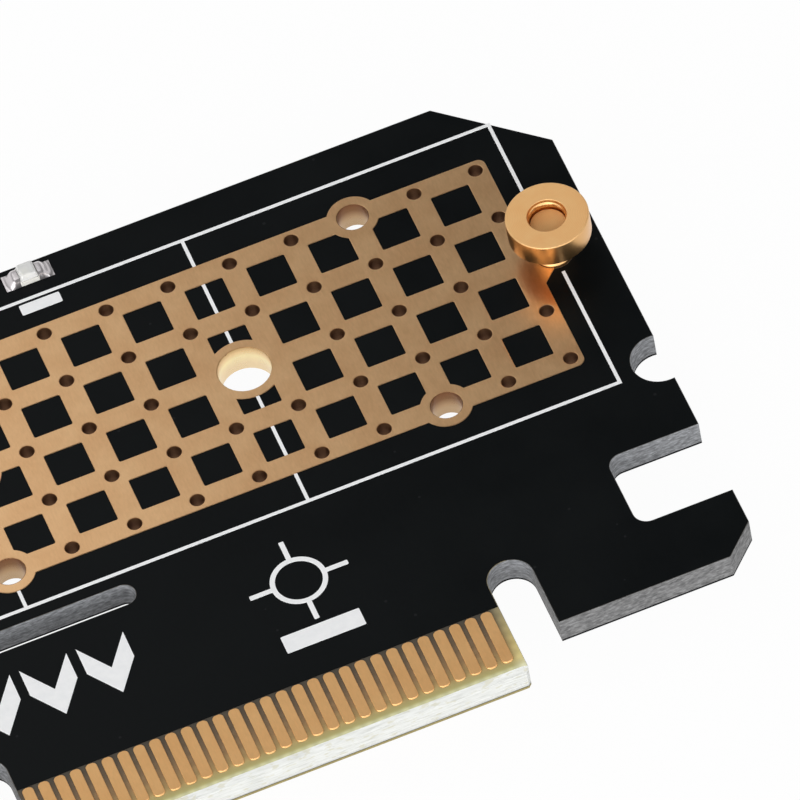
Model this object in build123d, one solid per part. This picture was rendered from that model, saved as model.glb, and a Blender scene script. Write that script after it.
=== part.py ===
from build123d import *
import os

# Driving dimensions in millimetres.
# The origin is the middle of the key notch on the tongue's seating edge, at the component face.
# X runs along the edge fingers away from the slot bracket, Y away from the fingers,
# and Z out of the component face.

# Circuit board
BOARD_T = 1.9
BOARD_LEFT = -56.2
BOARD_RIGHT = 88.1
BOARD_TOP = 42.1
STEP_Y = 8.25
STEP_CORNER = 1.0
TOP_CHAMFER_X = 5.9
TOP_CHAMFER_Y = 5.5
TONGUE_LEFT = -12.55
HOOK_BOTTOM = 2.35
HOOK_CHAMFER = 1.95
TONGUE_CORNER = 0.2
BEVEL = 0.3
EDGE_BREAK = 0.1

# Notches in the tongue, all with a round top
NOTCH_TOP = 8.0
KEY_NOTCH_W = 1.9
RELIEF_W = 2.8
RELIEF_X = 40.5
HOOK_GAP_X = 73.82

# Cut-outs on the far edge, and the milled slot in the board
LATCH_SLOT_LEFT = 82.1
LATCH_SLOT_LOW = 6.95
LATCH_SLOT_HIGH = 12.4
LATCH_SLOT_R = 0.9
EDGE_NOTCH_R = 1.77
EDGE_NOTCH_X = 87.82
EDGE_NOTCH_Y = 18.07
MILLED_SLOT_RIGHT = 53.3
MILLED_SLOT_Y = 15.75
MILLED_SLOT_L = 30.0
MILLED_SLOT_W = 1.5

# Edge fingers: pins 1 to 11 before the key notch, 12 to 82 after it, three left out at the relief notch
PIN_PITCH = 1.0
PIN_12_X = 1.5
LAST_PIN = 82
FIRST_LONG_PIN = 12
PINS_LEFT_OUT = (50, 51, 52)
FINGER_W = 0.7
FINGER_LOW = 0.9
FINGER_HIGH = 5.0
COPPER_T = 0.05

# Module bay: the seated end of the module, its width, and its free length holes
MODULE_Y = 28.4
MODULE_W = 22.0
SEAT_X = 5.0
FREE_LENGTHS = (30, 42, 60)
CLAMP_LENGTH = 80
LENGTH_HOLE_R = 1.7
LENGTH_LAND_R = 2.2
LAND_SETBACK = 0.05
LAND_SIDES = 10

# Heat lattice: square windows and plated holes on one pitch
LATTICE_PITCH = 4.0
LATTICE_LAST_X = 83.0
LATTICE_COLUMNS = 13
LATTICE_ROWS = 5
LATTICE_BORDER = 0.75
LATTICE_CORNER = 0.5
WINDOW = 2.45
VIA_R = 0.55
VIA_SIDES = 6
VIA_KEEP_OUT = 2.3
SINK_HOLE_R = 1.025
SINK_LAND_R = 1.4
SINK_X = (47.0, 75.0)
SINK_Y = (20.4, 36.4)
CLAMP_TAB_TIP = 85.05
CLAMP_TAB_ROOT_HALF = 2.0
CLAMP_TAB_TIP_HALF = 0.75

# White print
PRINT_T = 0.03
LINE_W = 0.25
FRAME_LEFT = 10.6
CLAMP_LINE_GAP = 1.6
ARROW_X = 46.5
ARROW_COUNT = 3
ARROW_PITCH = 3.6
ARROW_W = 3.0
ARROW_RISE = 2.2
ARROW_BAND = 2.0
ARROW_LOW = 9.0
TARGET_X = 62.4
TARGET_Y = 12.1
TARGET_R = 1.75
TARGET_BAND = 0.32
TICK_L = 1.7
BAR_L = 5.0
BAR_W = 1.3
BAR_Y = 7.95
LAMP_MARK_L = 2.6
LAMP_MARK_W = 0.8
LAMP_MARK_Y = 38.7

# Module clamp: a stud pressed through the board and a round nut on it
STUD_R = 1.2
STUD_TOP = 2.85
STUD_FLANGE_R = 2.5
STUD_FLANGE_T = 0.7
NUT_R = 2.55
NUT_LOW = 2.0
NUT_TOP = 3.6

# Module socket
SOCKET_BACK = 0.7
SOCKET_MOUTH = 9.4
SOCKET_HALF_W = 10.95
SOCKET_H = 3.2
SOCKET_WALL = 0.8
CAVITY_FRONT = 4.9
CAVITY_HALF_W = 9.5
MOUTH_HALF_W = 10.05
LOWER_JAW_TOP = 1.15
UPPER_JAW_LOW = 2.45
UPPER_JAW_FRONT = 7.4
TAIL_SLOT_H = 0.32
LEAD_IN = 0.6
KEY_RIB_W = 1.1
PEG_X = 3.2
PEG_OUT = 10.22
PEG_RADII = (0.6, 0.45)
PEG_SIDES = 8
PEG_L = 1.3
PEG_CLEARANCE = 0.05
CONTACT_PITCH = 0.25
CONTACT_PLACES = 75
KEY_PLACES = range(59, 67)
CONTACT_W = 0.2
CONTACT_T = 0.15
CONTACT_GAP = 0.6
UPPER_TAIL = 1.1
LOWER_TAIL = 0.8
HOLD_DOWN_X = 6.4
HOLD_DOWN_W = 2.4
HOLD_DOWN_FOOT = 1.2
HOLD_DOWN_H = 1.6
HOLD_DOWN_T = 0.2

# Indicator lamps along the top edge, each with a resistor, and the supply capacitors
LAMP_X = 55.6
LAMP_Y = 41.05
LAMP_PITCH = 30.0
LAMP_COUNT = 4
LAMP_D = 1.25
LAMP_BODY_L = 1.2
LAMP_BODY_H = 0.35
LAMP_END_L = 0.7
LAMP_END_H = 0.5
LENS_H = 0.45
LENS_INSET = 0.14
RESISTOR_OFFSET = -6.0
RESISTOR_SIZE = (0.9, 0.8, 0.45)
RESISTOR_END = 0.4
CAPACITOR_SIZE = (1.1, 1.25, 1.2)
CAPACITOR_END = 0.5
CAPACITOR_X = -4.5
CAPACITOR_YS = (20.4, 25.4, 31.4, 36.4)
END_OVERHANG = 0.03

# Slot bracket, folded from sheet, and the two screws that hold it
SHEET_T = 0.86
BRACKET_X = -57.15
BRACKET_TOP = 65.6
BRACKET_H = 79.2
BRACKET_LOW_Z = -4.5
BRACKET_W = 18.42
TAB_L = 11.4
BEND_R = 0.5
TONGUE_W = 10.2
TONGUE_H = 10.5
SHOULDER_H = 3.2
SCREW_SLOT_W = 4.4
SCREW_SLOT_DEPTH = 5.2
EAR_YS = (15.0, 36.0)
EAR_W = 8.0
EAR_L = 9.6
EAR_WINDOW_L = 9.2
EAR_CORNER = 1.5
EAR_SCREW_X = -51.2
SCREW_R = 1.5
SCREW_HOLE_R = 1.6
SCREW_HEAD_R = 2.8
SCREW_HEAD_H = 1.8
SCREW_REACH = 3.4

# Worked out from the above
CLAMP_X = SEAT_X + CLAMP_LENGTH
FREE_HOLE_XS = [SEAT_X + length for length in FREE_LENGTHS]
LENGTH_HOLE_XS = FREE_HOLE_XS + [CLAMP_X]
SINK_HOLES = [(x, y) for x in SINK_X for y in SINK_Y]
COLUMN_XS = [LATTICE_LAST_X - LATTICE_PITCH * n for n in range(LATTICE_COLUMNS)]
ROW_YS = [MODULE_Y + LATTICE_PITCH * (n - (LATTICE_ROWS - 1) / 2) for n in range(LATTICE_ROWS)]
LAMP_XS = [LAMP_X - LAMP_PITCH * n for n in range(LAMP_COUNT)]
BOARD_BACK = -BOARD_T
BRACKET_HIGH_Z = BRACKET_LOW_Z + BRACKET_W
TONGUE_END = BRACKET_TOP - BRACKET_H


def slab(x, y, z):
    """A box between two limits along each axis."""
    size = Box(x[1] - x[0], y[1] - y[0], z[1] - z[0], align=Align.MIN)
    return Pos(x[0], y[0], z[0]) * size


def round_notch(x, width):
    """A notch that opens downwards past the tongue's edge and ends in a half circle."""
    centre_y = NOTCH_TOP - width / 2
    run = centre_y + 2
    return Pos(x, centre_y) * Circle(width / 2) + Pos(x, centre_y - run / 2) * Rectangle(width, run)


def holes(places, radius):
    return [Pos(x, y) * Circle(radius) for x, y in places]


def lands(places, radius):
    """Many-sided outlines that lie round a circle of this radius."""
    return [Pos(x, y) * RegularPolygon(radius, LAND_SIDES, major_radius=False) for x, y in places]


def peg_outline(side, radius):
    outline = RegularPolygon(radius, PEG_SIDES, major_radius=False)
    return Pos(PEG_X, MODULE_Y + side * PEG_OUT) * outline


def near(value, places):
    return any(abs(value - place) < 1e-6 for place in places)


def board_face():
    """The board's outline with every opening in it."""
    face = Polygon(
        (BOARD_LEFT, STEP_Y),
        (TONGUE_LEFT, STEP_Y),
        (TONGUE_LEFT, 0),
        (HOOK_GAP_X, 0),
        (HOOK_GAP_X, HOOK_BOTTOM),
        (BOARD_RIGHT - HOOK_CHAMFER, HOOK_BOTTOM),
        (BOARD_RIGHT, HOOK_BOTTOM + HOOK_CHAMFER),
        (BOARD_RIGHT, BOARD_TOP - TOP_CHAMFER_Y),
        (BOARD_RIGHT - TOP_CHAMFER_X, BOARD_TOP),
        (BOARD_LEFT, BOARD_TOP),
        align=None,
    )
    for x, width in ((0, KEY_NOTCH_W), (RELIEF_X, RELIEF_W), (HOOK_GAP_X, RELIEF_W)):
        face -= round_notch(x, width)
    corners = face.vertices().filter_by(lambda v: near(v.Y, (0,)))
    face = chamfer(corners, TONGUE_CORNER)
    step = face.vertices().filter_by(lambda v: near(v.X, (TONGUE_LEFT,)) and near(v.Y, (STEP_Y,)))
    ends = face.vertices().filter_by(lambda v: near(v.X, (BOARD_LEFT,)))
    face = chamfer(ends, STEP_CORNER)
    face = fillet(step, STEP_CORNER)
    slot_h = LATCH_SLOT_HIGH - LATCH_SLOT_LOW
    slot_l = 2 * (BOARD_RIGHT - LATCH_SLOT_LEFT)
    latch_y = (LATCH_SLOT_HIGH + LATCH_SLOT_LOW) / 2
    face -= Pos(BOARD_RIGHT, latch_y) * RectangleRounded(slot_l, slot_h, LATCH_SLOT_R)
    face -= Pos(EDGE_NOTCH_X, EDGE_NOTCH_Y) * Circle(EDGE_NOTCH_R)
    milled_x = MILLED_SLOT_RIGHT - MILLED_SLOT_L / 2
    face -= Pos(milled_x, MILLED_SLOT_Y) * SlotOverall(MILLED_SLOT_L, MILLED_SLOT_W)
    face -= holes([(x, MODULE_Y) for x in FREE_HOLE_XS], LENGTH_HOLE_R)
    face -= holes([(CLAMP_X, MODULE_Y)], STUD_R)
    face -= holes(SINK_HOLES, SINK_HOLE_R)
    face -= holes([(EAR_SCREW_X, y) for y in EAR_YS], SCREW_HOLE_R)
    for side, radius in zip((-1, 1), PEG_RADII):
        face -= peg_outline(side, radius + PEG_CLEARANCE)
    return face


def circuit_board():
    board = extrude(board_face(), amount=-BOARD_T)
    plane = Plane.YZ.offset(TONGUE_LEFT - 1)
    length = HOOK_GAP_X - TONGUE_LEFT + 1
    upper = Polygon((BEVEL, 0), (0, -BEVEL), (-1, -BEVEL), (-1, 1), (BEVEL, 1), align=None)
    lower_high = BOARD_BACK + EDGE_BREAK
    lower = Polygon(
        (EDGE_BREAK, BOARD_BACK),
        (0, lower_high),
        (-1, lower_high),
        (-1, BOARD_BACK - 1),
        (EDGE_BREAK, BOARD_BACK - 1),
        align=None,
    )
    return board - [extrude(plane * outline, amount=length) for outline in (upper, lower)]


def pin_xs():
    """The middle of every finger, from the bracket's end to the hook."""
    short = [PIN_PITCH * (n - FIRST_LONG_PIN + 1) - PIN_12_X for n in range(1, FIRST_LONG_PIN)]
    kept = [n for n in range(FIRST_LONG_PIN, LAST_PIN + 1) if n not in PINS_LEFT_OUT]
    return short + [PIN_12_X + PIN_PITCH * (n - FIRST_LONG_PIN) for n in kept]


def finger_row(low):
    """One side's fingers, with their undersides at this height."""
    half = FINGER_W / 2
    y = (FINGER_LOW, FINGER_HIGH)
    return [slab((x - half, x + half), y, (low, low + COPPER_T)) for x in pin_xs()]


def front_fingers():
    return finger_row(0)


def back_fingers():
    return finger_row(BOARD_BACK - COPPER_T)


def clamp_tab():
    """The copper that reaches from the lattice to the module clamp."""
    root = LATTICE_LAST_X + LATTICE_BORDER
    return Polygon(
        (root - LATTICE_BORDER, MODULE_Y - CLAMP_TAB_ROOT_HALF),
        (root, MODULE_Y - CLAMP_TAB_ROOT_HALF),
        (CLAMP_TAB_TIP, MODULE_Y - CLAMP_TAB_TIP_HALF),
        (CLAMP_TAB_TIP, MODULE_Y + CLAMP_TAB_TIP_HALF),
        (root, MODULE_Y + CLAMP_TAB_ROOT_HALF),
        (root - LATTICE_BORDER, MODULE_Y + CLAMP_TAB_ROOT_HALF),
        align=None,
    )


def via_places():
    """Every crossing of the lattice that has a plated hole."""
    places = [(x, y) for x in COLUMN_XS for y in ROW_YS if (x, y) not in SINK_HOLES]
    taken = [(hole_x, MODULE_Y) for hole_x in LENGTH_HOLE_XS]
    return [
        (x, y)
        for x, y in places
        if all((x - a) ** 2 + (y - b) ** 2 > VIA_KEEP_OUT**2 for a, b in taken)
    ]


def heat_lattice():
    """The bare copper net under the module, with lands round the holes that pass through it."""
    length = COLUMN_XS[0] - COLUMN_XS[-1] + 2 * LATTICE_BORDER
    width = ROW_YS[-1] - ROW_YS[0] + 2 * LATTICE_BORDER
    middle_x = (COLUMN_XS[0] + COLUMN_XS[-1]) / 2
    net = Pos(middle_x, MODULE_Y) * Rectangle(length, width)
    net = chamfer(net.vertices(), LATTICE_CORNER)
    half = LATTICE_PITCH / 2
    window_places = [(x - half, y + half) for x in COLUMN_XS[:-1] for y in ROW_YS[:-1]]
    net -= [Pos(x, y) * Rectangle(WINDOW, WINDOW) for x, y in window_places]
    length_holes = [(x, MODULE_Y) for x in FREE_HOLE_XS]
    net += lands(length_holes, LENGTH_LAND_R)
    net += lands(SINK_HOLES, SINK_LAND_R)
    net += clamp_tab()
    net -= lands(length_holes, LENGTH_HOLE_R + LAND_SETBACK)
    net -= lands([(CLAMP_X, MODULE_Y)], STUD_R + LAND_SETBACK)
    net -= lands(SINK_HOLES, SINK_HOLE_R + LAND_SETBACK)
    net -= [Pos(x, y) * RegularPolygon(VIA_R, VIA_SIDES) for x, y in via_places()]
    return extrude(net, amount=COPPER_T)


def line_x(x, low, high):
    """A printed line across the module bay, given from the bay's middle."""
    half = LINE_W / 2
    return slab((x - half, x + half), (MODULE_Y + low, MODULE_Y + high), (0, PRINT_T))


def print_lines():
    """The module's outline and the length lines, which stop at the copper."""
    edge = MODULE_W / 2
    half = LINE_W / 2
    net_edge = ROW_YS[-1] - MODULE_Y + LATTICE_BORDER
    window_low = (LATTICE_PITCH - WINDOW) / 2
    lines = []
    for side in (-1, 1):
        y = MODULE_Y + side * edge
        lines.append(slab((FRAME_LEFT, CLAMP_X + half), (y - half, y + half), (0, PRINT_T)))
    lines.append(line_x(CLAMP_X, -edge + half, -CLAMP_LINE_GAP))
    lines.append(line_x(CLAMP_X, CLAMP_LINE_GAP, edge - half))
    sink_edge = SINK_Y[1] - MODULE_Y + SINK_LAND_R
    for x in FREE_HOLE_XS:
        start = sink_edge if near(x, SINK_X) else net_edge
        lines.append(line_x(x, -edge + half, -start))
        lines.append(line_x(x, start, edge - half))
        if near(x, COLUMN_XS):
            continue
        first = (LENGTH_LAND_R, LATTICE_PITCH - window_low)
        second = (LATTICE_PITCH + window_low, 2 * LATTICE_PITCH - window_low)
        for low, high in (first, second):
            lines.append(line_x(x, low, high))
            lines.append(line_x(x, -high, -low))
    return lines


def arrow_mark(x):
    """One bold arrowhead that points to the seating edge."""
    half = ARROW_W / 2
    outline = Polygon(
        (x - half, ARROW_LOW + ARROW_RISE),
        (x, ARROW_LOW),
        (x + half, ARROW_LOW + ARROW_RISE),
        (x + half, ARROW_LOW + ARROW_RISE + ARROW_BAND),
        (x, ARROW_LOW + ARROW_BAND),
        (x - half, ARROW_LOW + ARROW_RISE + ARROW_BAND),
        align=None,
    )
    return extrude(outline, amount=PRINT_T)


def target_mark():
    """A ring with four ticks."""
    ring = lands([(0, 0)], TARGET_R)[0] - lands([(0, 0)], TARGET_R - TARGET_BAND)[0]
    tick_middle = TARGET_R - TARGET_BAND / 2 + TICK_L / 2 - TARGET_BAND / 2
    for place in PolarLocations(tick_middle, 4):
        ring += place * Rectangle(TICK_L, TARGET_BAND)
    return Pos(TARGET_X, TARGET_Y, 0) * extrude(ring, amount=PRINT_T)


def print_marks():
    """Plain marks: insertion arrows, a target, a bar and one field below each lamp."""
    marks = [arrow_mark(ARROW_X + ARROW_PITCH * (n - 1)) for n in range(ARROW_COUNT)]
    marks.append(target_mark())
    bar_x = (TARGET_X - BAR_L / 2, TARGET_X + BAR_L / 2)
    bar_y = (BAR_Y - BAR_W / 2, BAR_Y + BAR_W / 2)
    marks.append(slab(bar_x, bar_y, (0, PRINT_T)))
    for x in LAMP_XS:
        mark_x = (x - LAMP_MARK_L / 2, x + LAMP_MARK_L / 2)
        mark_y = (LAMP_MARK_Y - LAMP_MARK_W / 2, LAMP_MARK_Y + LAMP_MARK_W / 2)
        marks.append(slab(mark_x, mark_y, (0, PRINT_T)))
    return marks


def turned(profile):
    """A piece turned about the clamp's axis from a half section of radius and height."""
    section = Plane.XZ * Polygon(*profile, align=None)
    return Pos(CLAMP_X, MODULE_Y, 0) * revolve(section, Axis.Z)


def clamp_stud():
    flange_low = BOARD_BACK - STUD_FLANGE_T
    return turned(
        [
            (0, flange_low),
            (STUD_FLANGE_R, flange_low),
            (STUD_FLANGE_R, BOARD_BACK),
            (STUD_R, BOARD_BACK),
            (STUD_R, STUD_TOP),
            (0, STUD_TOP),
        ]
    )


def clamp_nut():
    return turned(
        [
            (STUD_R, NUT_LOW),
            (NUT_R, NUT_LOW),
            (NUT_R, NUT_TOP),
            (STUD_R, NUT_TOP),
        ]
    )


def across(half_width):
    return (MODULE_Y - half_width, MODULE_Y + half_width)


def place_y(place):
    """The Y of a contact place, counted along the socket."""
    return MODULE_Y + CONTACT_PITCH * (place - (CONTACT_PLACES + 1) / 2)


def socket_housing():
    """The socket's body: back wall, cheeks, two jaws round the mouth, the key rib and two pegs."""
    body = slab((SOCKET_BACK, SOCKET_MOUTH), across(SOCKET_HALF_W), (0, SOCKET_H))
    cavity_x = (SOCKET_BACK + SOCKET_WALL, CAVITY_FRONT)
    body -= slab(cavity_x, across(CAVITY_HALF_W), (0, UPPER_JAW_LOW))
    body -= slab((SOCKET_BACK, CAVITY_FRONT), across(CAVITY_HALF_W), (0, TAIL_SLOT_H))
    body -= slab((CAVITY_FRONT, SOCKET_MOUTH), across(CAVITY_HALF_W), (0, TAIL_SLOT_H))
    body -= slab((CAVITY_FRONT, SOCKET_MOUTH), across(MOUTH_HALF_W), (LOWER_JAW_TOP, UPPER_JAW_LOW))
    body -= slab((UPPER_JAW_FRONT, SOCKET_MOUTH), across(MOUTH_HALF_W), (LOWER_JAW_TOP, SOCKET_H))
    lead_in = Polygon(
        (SOCKET_MOUTH - LEAD_IN, LOWER_JAW_TOP),
        (SOCKET_MOUTH, LOWER_JAW_TOP - LEAD_IN),
        (SOCKET_MOUTH, LOWER_JAW_TOP),
        align=None,
    )
    lead_in_plane = Plane.XZ.offset(-MODULE_Y - MOUTH_HALF_W)
    body -= extrude(lead_in_plane * lead_in, amount=2 * MOUTH_HALF_W)
    rib_y = (place_y(KEY_PLACES[0]) + place_y(KEY_PLACES[-1])) / 2
    rib_z = (LOWER_JAW_TOP, UPPER_JAW_LOW)
    rib_span = (rib_y - KEY_RIB_W / 2, rib_y + KEY_RIB_W / 2)
    body += slab((CAVITY_FRONT, UPPER_JAW_FRONT), rib_span, rib_z)
    for side, radius in zip((-1, 1), PEG_RADII):
        body += extrude(peg_outline(side, radius), amount=-PEG_L)
    return body


def contact_row(x, first_place):
    """One row of flat contact tails, on every second place that the key leaves free."""
    half = CONTACT_W / 2
    kept = [n for n in range(first_place, CONTACT_PLACES + 1, 2) if n not in KEY_PLACES]
    return [slab(x, (place_y(n) - half, place_y(n) + half), (0, CONTACT_T)) for n in kept]


def upper_contacts():
    """Tails behind the socket, which run under its back wall into the cavity."""
    return contact_row((SOCKET_BACK - UPPER_TAIL, CAVITY_FRONT - CONTACT_GAP), 1)


def lower_contacts():
    """Tails before the socket, which run under its lower jaw into the cavity."""
    return contact_row((CAVITY_FRONT - CONTACT_GAP / 2, SOCKET_MOUTH + LOWER_TAIL), 2)


def hold_downs():
    """The soldered angle on each cheek of the socket."""
    pieces = []
    x = (HOLD_DOWN_X - HOLD_DOWN_W / 2, HOLD_DOWN_X + HOLD_DOWN_W / 2)
    for side in (-1, 1):
        near_y = MODULE_Y + side * SOCKET_HALF_W
        riser_y = sorted((near_y, near_y + side * HOLD_DOWN_T))
        foot_y = sorted((near_y, near_y + side * HOLD_DOWN_FOOT))
        riser = slab(x, riser_y, (0, HOLD_DOWN_H))
        pieces.append(riser + slab(x, foot_y, (0, HOLD_DOWN_T)))
    return pieces


def chip_ends(x, y, gap, end, width, height):
    """The two metal ends of a chip part, on either side of its body."""
    span = (y - width / 2, y + width / 2)
    left = slab((x - gap / 2 - end, x - gap / 2), span, (0, height))
    right = slab((x + gap / 2, x + gap / 2 + end), span, (0, height))
    return [left, right]


def chip_body(x, y, size):
    return Pos(x, y, 0) * Box(*size, align=(Align.CENTER, Align.CENTER, Align.MIN))


def lamp_bodies():
    return [chip_body(x, LAMP_Y, (LAMP_BODY_L, LAMP_D, LAMP_BODY_H)) for x in LAMP_XS]


def lamp_lenses():
    """Clear blocks that narrow towards the top."""
    lenses = []
    for x in LAMP_XS:
        foot = Pos(x, LAMP_Y, LAMP_BODY_H) * Rectangle(LAMP_BODY_L, LAMP_D)
        top_l = LAMP_BODY_L - 2 * LENS_INSET
        top = Pos(x, LAMP_Y, LAMP_BODY_H + LENS_H) * Rectangle(top_l, LAMP_D - 2 * LENS_INSET)
        lenses.append(loft([foot.face(), top.face()]))
    return lenses


def solder_end(x, side):
    """A lamp's plated end with the solder that slopes from it to the board."""
    inner = LAMP_BODY_L / 2
    outline = Polygon(
        (inner, 0),
        (inner + LAMP_END_L + LAMP_END_H / 2, 0),
        (inner + LAMP_END_L / 2, LAMP_END_H),
        (inner, LAMP_END_H),
        align=None,
    )
    wedge = extrude(Plane.XZ.offset(LAMP_D / 2) * outline, amount=-LAMP_D)
    turn = 0 if side > 0 else 180
    return Pos(x, LAMP_Y, 0) * Rot(0, 0, turn) * wedge


def lamp_ends():
    return [solder_end(x, side) for x in LAMP_XS for side in (-1, 1)]


def lamp_resistors():
    return [chip_body(x + RESISTOR_OFFSET, LAMP_Y, RESISTOR_SIZE) for x in LAMP_XS]


def resistor_ends():
    length, width, height = RESISTOR_SIZE
    ends = []
    for x in LAMP_XS:
        middle = x + RESISTOR_OFFSET
        ends += chip_ends(middle, LAMP_Y, length, RESISTOR_END, width, height + END_OVERHANG)
    return ends


def supply_capacitors():
    return [chip_body(CAPACITOR_X, y, CAPACITOR_SIZE) for y in CAPACITOR_YS]


def capacitor_ends():
    length, width, height = CAPACITOR_SIZE
    ends = []
    for y in CAPACITOR_YS:
        ends += chip_ends(CAPACITOR_X, y, length, CAPACITOR_END, width, height + END_OVERHANG)
    return ends


def folded_plate():
    """The bracket's plate with its top tab folded outwards."""
    back = BRACKET_X - SHEET_T
    fold = Polygon(
        (BRACKET_X, TONGUE_END),
        (BRACKET_X, BRACKET_TOP),
        (BRACKET_X - TAB_L, BRACKET_TOP),
        (BRACKET_X - TAB_L, BRACKET_TOP - SHEET_T),
        (back, BRACKET_TOP - SHEET_T),
        (back, TONGUE_END),
        align=None,
    )
    inner = fold.vertices().filter_by(lambda v: near(v.X, (back,)) and v.Y > 0)
    fold = fillet(inner, BEND_R)
    outer = fold.vertices().filter_by(lambda v: near(v.X, (BRACKET_X,)) and v.Y > 0)
    fold = fillet(outer, BEND_R + SHEET_T)
    return Pos(0, 0, BRACKET_LOW_Z) * extrude(fold, amount=BRACKET_W)


def tongue_flanks():
    """What is cut away on both sides of the bracket's narrow lower end."""
    middle = (BRACKET_LOW_Z + BRACKET_HIGH_Z) / 2
    shoulder = TONGUE_END + TONGUE_H
    flanks = []
    for side in (-1, 1):
        inner = middle + side * TONGUE_W / 2
        outer = middle + side * BRACKET_W / 2
        outline = Polygon(
            (TONGUE_END - 1, inner),
            (shoulder - SHOULDER_H, inner),
            (shoulder, outer),
            (shoulder, outer + side),
            (TONGUE_END - 1, outer + side),
            align=None,
        )
        plane = Plane.YZ.offset(BRACKET_X - SHEET_T - 1)
        flanks.append(extrude(plane * outline, amount=SHEET_T + 2))
    return flanks


def screw_slot():
    """The open slot in the tab for the chassis screw."""
    x = BRACKET_X - (TAB_L + SHEET_T) / 2
    round_z = BRACKET_HIGH_Z - SCREW_SLOT_DEPTH + SCREW_SLOT_W / 2
    run = BRACKET_HIGH_Z - round_z + 1
    slot = Pos(x, round_z) * Circle(SCREW_SLOT_W / 2)
    slot += Pos(x, round_z + run / 2) * Rectangle(SCREW_SLOT_W, run)
    return extrude(Plane.XZ.offset(-BRACKET_TOP - 1) * slot, amount=SHEET_T + 2)


def bracket_ear(y):
    """A lug lanced out of the plate and folded flat against the board's back."""
    back = BRACKET_X - SHEET_T
    fold = Polygon(
        (back, BRACKET_LOW_Z),
        (BRACKET_X, BRACKET_LOW_Z),
        (BRACKET_X, BOARD_BACK - SHEET_T),
        (BRACKET_X + EAR_L, BOARD_BACK - SHEET_T),
        (BRACKET_X + EAR_L, BOARD_BACK),
        (back, BOARD_BACK),
        align=None,
    )
    inner = fold.vertices().filter_by(lambda v: near(v.X, (BRACKET_X,)) and v.Y > BRACKET_LOW_Z + 1)
    fold = fillet(inner, BEND_R)
    outer = fold.vertices().filter_by(lambda v: near(v.X, (back,)) and near(v.Y, (BOARD_BACK,)))
    fold = fillet(outer, BEND_R + SHEET_T)
    ear = extrude(Plane.XZ.offset(-y - EAR_W / 2) * fold, amount=EAR_W)
    tips = ear.edges().filter_by(Axis.Z).filter_by(lambda e: near(e.center().X, (BRACKET_X + EAR_L,)))
    ear = chamfer(tips, EAR_CORNER)
    bore = Cylinder(SCREW_R, 4 * SHEET_T)
    return ear - Pos(EAR_SCREW_X, y, BOARD_BACK) * bore


def slot_bracket():
    bracket = folded_plate() - tongue_flanks() - screw_slot()
    sheet = (BRACKET_X - SHEET_T - 1, BRACKET_X + 1)
    window_low = BOARD_BACK - SHEET_T - BEND_R
    for y in EAR_YS:
        span = (y - EAR_W / 2, y + EAR_W / 2)
        bracket -= slab(sheet, span, (window_low, window_low + EAR_WINDOW_L))
        bracket += bracket_ear(y)
    return bracket


def bracket_screw(y):
    """A round-headed screw through the board into the ear."""
    section = Polygon(
        (0, -SCREW_REACH),
        (SCREW_R, -SCREW_REACH),
        (SCREW_R, 0),
        (SCREW_HEAD_R, 0),
        (SCREW_HEAD_R, SCREW_HEAD_H),
        (0, SCREW_HEAD_H),
        align=None,
    )
    return Pos(EAR_SCREW_X, y, 0) * revolve(Plane.XZ * section, Axis.Z)


def bracket_screws():
    return [bracket_screw(y) for y in EAR_YS]


NODES = {
    "circuit_board": circuit_board,
    "edge_fingers_front": front_fingers,
    "edge_fingers_back": back_fingers,
    "heat_lattice": heat_lattice,
    "print_lines": print_lines,
    "print_marks": print_marks,
    "clamp_stud": clamp_stud,
    "clamp_nut": clamp_nut,
    "socket_housing": socket_housing,
    "socket_upper_contacts": upper_contacts,
    "socket_lower_contacts": lower_contacts,
    "socket_hold_downs": hold_downs,
    "lamp_bodies": lamp_bodies,
    "lamp_lenses": lamp_lenses,
    "lamp_ends": lamp_ends,
    "lamp_resistors": lamp_resistors,
    "resistor_ends": resistor_ends,
    "supply_capacitors": supply_capacitors,
    "capacitor_ends": capacitor_ends,
    "slot_bracket": slot_bracket,
    "bracket_screws": bracket_screws,
}


os.makedirs("parts", exist_ok=True)
for name, make in NODES.items():
    made = make()
    solids = made if isinstance(made, list) else [made]
    export_step(Compound(children=[s for piece in solids for s in piece.solids()]), f"parts/{name}.step")
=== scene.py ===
import math

import bmesh
import bpy
import numpy as np
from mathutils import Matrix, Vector
from mathutils.geometry import delaunay_2d_cdt


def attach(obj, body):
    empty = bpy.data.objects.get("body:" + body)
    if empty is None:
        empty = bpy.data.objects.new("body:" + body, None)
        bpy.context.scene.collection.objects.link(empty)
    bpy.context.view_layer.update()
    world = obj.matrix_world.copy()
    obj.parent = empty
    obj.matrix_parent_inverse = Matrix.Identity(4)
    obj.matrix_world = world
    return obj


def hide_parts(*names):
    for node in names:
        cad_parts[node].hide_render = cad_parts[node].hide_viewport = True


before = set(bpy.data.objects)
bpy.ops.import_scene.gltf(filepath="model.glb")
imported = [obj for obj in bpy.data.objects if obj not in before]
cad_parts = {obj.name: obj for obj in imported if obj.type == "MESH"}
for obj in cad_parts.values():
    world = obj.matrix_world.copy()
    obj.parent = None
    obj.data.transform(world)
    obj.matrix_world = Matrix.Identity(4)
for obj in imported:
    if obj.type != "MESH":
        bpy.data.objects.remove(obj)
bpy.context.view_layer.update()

# Sizes in millimetres, in the part's own frame
MM = 0.001
MASK_T, MASK_RIM, MASK_PULLBACK = 0.03, 0.012, 0.05
BOARD_BACK, BACK_LAYER_T, CORE_RIM = -1.9, 0.15, 0.02
TONGUE_X, TONGUE_Y = (-20.0, 73.82), (-9.0, 4.97)
TONGUE_RIM = 0.06
BEVEL = 0.3
MILLED_FACING = -0.3
COPPER_TOP = 0.05
SUNK_FOOT = -0.005

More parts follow.
